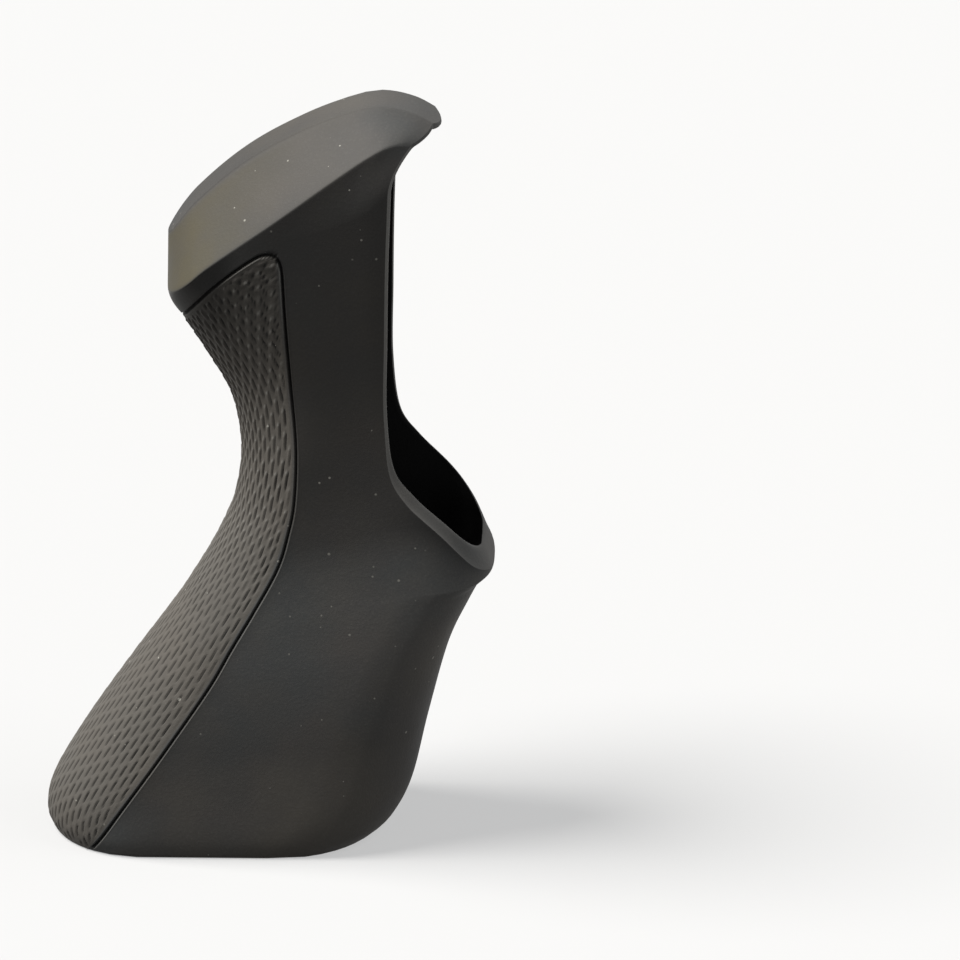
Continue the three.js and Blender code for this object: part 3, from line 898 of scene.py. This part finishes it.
def floor_material():
    """Pale floor: white as seen, with a soft shadow, and a weak bounce on the object."""
    mat, nodes, links = new_material("studio_floor")
    coord = nodes.new("ShaderNodeTexCoord")
    texture = nodes.new("ShaderNodeTexNoise")
    texture.inputs["Scale"].default_value = 6
    links.new(coord.outputs["Object"], texture.inputs["Vector"])
    tone = nodes.new("ShaderNodeMapRange")
    tone.inputs["To Min"].default_value = FLOOR_COLOUR * 0.995
    tone.inputs["To Max"].default_value = FLOOR_COLOUR * 1.005
    links.new(texture.outputs["Fac"], tone.inputs["Value"])
    lit_floor = nodes.new("ShaderNodeBsdfDiffuse")
    links.new(tone.outputs[0], lit_floor.inputs["Color"])
    white = nodes.new("ShaderNodeEmission")
    white.inputs["Color"].default_value = (0.95, 0.95, 0.95, 1)
    shown = nodes.new("ShaderNodeMixShader")
    shown.inputs["Fac"].default_value = 0.5
    links.new(lit_floor.outputs[0], shown.inputs[1])
    links.new(white.outputs[0], shown.inputs[2])
    bounce = nodes.new("ShaderNodeBsdfDiffuse")
    bounce.inputs["Color"].default_value = (BOUNCE, BOUNCE, BOUNCE, 1)
    chosen = nodes.new("ShaderNodeMixShader")
    links.new(seen_directly(nodes, links), chosen.inputs["Fac"])
    links.new(bounce.outputs[0], chosen.inputs[1])
    links.new(shown.outputs[0], chosen.inputs[2])
    out = nodes.new("ShaderNodeOutputMaterial")
    links.new(chosen.outputs[0], out.inputs["Surface"])
    return mat


def seen_directly(nodes, links):
    """1 for what the camera, a reflection or a clear body shows, 0 for light on its way."""
    path = nodes.new("ShaderNodeLightPath")
    total = path.outputs["Is Camera Ray"]
    for name in ("Is Glossy Ray", "Is Transmission Ray"):
        largest = nodes.new("ShaderNodeMath")
        largest.operation = "MAXIMUM"
        links.new(total, largest.inputs[0])
        links.new(path.outputs[name], largest.inputs[1])
        total = largest.outputs[0]
    return total


KEY_STRENGTH = 9.1
KEY_FROM = Vector((-0.5, -0.05, 0.86))
KEY_ANGLE = 34
KEY_COLOUR = (1.0, 0.985, 0.955)
SIDE_STRENGTH = 1.3
SIDE_FROM = Vector((0.75, -0.1, 0.65))
SIDE_ANGLE = 40
SIDE_COLOUR = (0.97, 0.985, 1.0)
FILL_STRENGTH = 0.2
FLOOR_COLOUR = 0.33
FLOOR_HALF = 4.0
BOUNCE = 0.08

mesh.materials.append(rubber())
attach(hood, "root")
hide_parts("hood")

# Floor
floor_mesh = bpy.data.meshes.new("floor")
floor_corners = [(x * FLOOR_HALF, y * FLOOR_HALF, 0) for x, y in ((-1, -1), (1, -1), (1, 1), (-1, 1))]
floor_mesh.from_pydata(floor_corners, [], [(0, 1, 2, 3)])
floor = bpy.data.objects.new("floor", floor_mesh)
floor.location = (0, 0, -0.0001)
bpy.context.scene.collection.objects.link(floor)
floor_mesh.materials.append(floor_material())

# Light: a broad key from above and a little to the left, a weak one from the right, an even fill
def sun(name, strength, direction, angle, colour):
    data = bpy.data.lights.new(name, "SUN")
    data.energy = strength
    data.angle = math.radians(angle)
    data.color = colour
    lamp = bpy.data.objects.new(name, data)
    lamp.rotation_euler = direction.to_track_quat("Z", "Y").to_euler()
    bpy.context.scene.collection.objects.link(lamp)


sun("key", KEY_STRENGTH, KEY_FROM, KEY_ANGLE, KEY_COLOUR)
sun("side", SIDE_STRENGTH, SIDE_FROM, SIDE_ANGLE, SIDE_COLOUR)

world = bpy.data.worlds.new("studio")
bpy.context.scene.world = world
world.use_nodes = True
tree = world.node_tree
tree.nodes.clear()
seen = tree.nodes.new("ShaderNodeBackground")
seen.inputs["Color"].default_value = (0.95, 0.95, 0.95, 1)
seen.inputs["Strength"].default_value = 1.0
lit = tree.nodes.new("ShaderNodeBackground")
lit.inputs["Color"].default_value = (0.95, 0.98, 1.0, 1)
lit.inputs["Strength"].default_value = FILL_STRENGTH
choose = tree.nodes.new("ShaderNodeMixShader")
tree.links.new(seen_directly(tree.nodes, tree.links), choose.inputs["Fac"])
tree.links.new(lit.outputs[0], choose.inputs[1])
tree.links.new(seen.outputs[0], choose.inputs[2])
world_out = tree.nodes.new("ShaderNodeOutputWorld")
tree.links.new(choose.outputs[0], world_out.inputs["Surface"])

# Camera: seen square to the flank from about 20 degrees above, the hood on the left of the frame
ELEVATION = math.radians(20)
YAW = math.radians(1.2)
DISTANCE = 1000.0
TARGET = Vector((32.9, 0, 57.14))
MM_PER_PIXEL = 0.1547
IMAGE_WIDTH = 960
SENSOR = 36
forward = Vector((
    -math.sin(YAW) * math.cos(ELEVATION),
    math.cos(YAW) * math.cos(ELEVATION),
    -math.sin(ELEVATION),
))
camera_data = bpy.data.cameras.new("camera")
camera_data.sensor_width = SENSOR
camera_data.lens = SENSOR * (DISTANCE / MM_PER_PIXEL) / IMAGE_WIDTH
camera_data.clip_end = 50
camera = bpy.data.objects.new("camera", camera_data)
camera.location = (TARGET - forward * DISTANCE) * MM
camera.rotation_euler = forward.to_track_quat("-Z", "Y").to_euler()
bpy.context.scene.collection.objects.link(camera)
bpy.context.scene.camera = camera
bpy.context.scene.view_settings.view_transform = "Standard"
